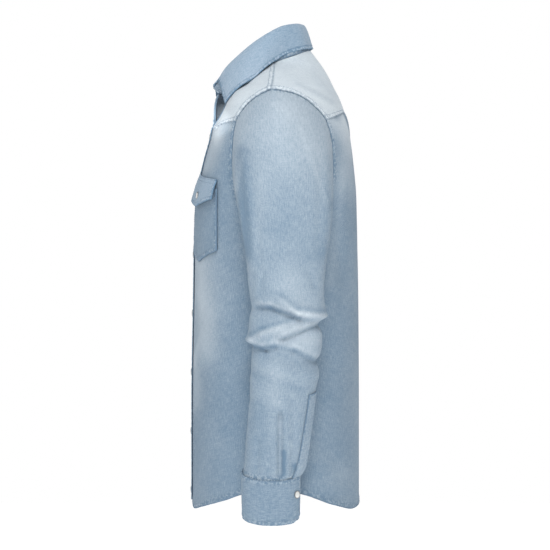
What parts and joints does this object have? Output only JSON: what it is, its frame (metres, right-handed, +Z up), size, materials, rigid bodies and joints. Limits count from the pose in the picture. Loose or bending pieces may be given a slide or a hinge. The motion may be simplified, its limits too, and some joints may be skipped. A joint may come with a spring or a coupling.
{
  "type": "denim shirt",
  "caption": "Long-sleeved western denim shirt with snaps, filled out as if worn, its collar open and its neck, hem and cuffs hollow.",
  "frame": {"origin": "middle of the neck opening, level with the points where the shoulder seams meet the collar", "axes": "+Z up, the front faces -Y, the wearer's left is +X"},
  "size_m": [0.5675, 0.2707, 0.7784],
  "materials": {
    "denim": "washed and faded, matt",
    "pearl": "pearl cap",
    "snap_metal": "pressed ring",
    "thread": "pale stitching"
  },
  "bodies": {
    "root": {"left_front": "denim", "left_front_yoke": "denim", "right_front": "denim", "right_front_yoke": "denim", "back": "denim", "back_yoke": "denim", "left_sleeve": "denim", "right_sleeve": "denim", "left_cuff": "denim", "right_cuff": "denim", "left_sleeve_placket": "denim", "right_sleeve_placket": "denim", "left_placket": "denim", "right_placket": "denim", "left_pocket": "denim", "left_pocket_flap": "denim", "right_pocket": "denim", "right_pocket_flap": "denim", "collar_stand": "denim", "collar": "denim", "left_flap_snap": "pearl", "left_cuff_snap": "pearl", "right_flap_snap": "pearl", "right_cuff_snap": "pearl", "snap_1": "pearl", "snap_2": "pearl", "snap_3": "pearl", "snap_4": "pearl", "snap_5": "pearl", "snap_6": "pearl", "snap_7": "pearl"}
  },
  "joints": []
}
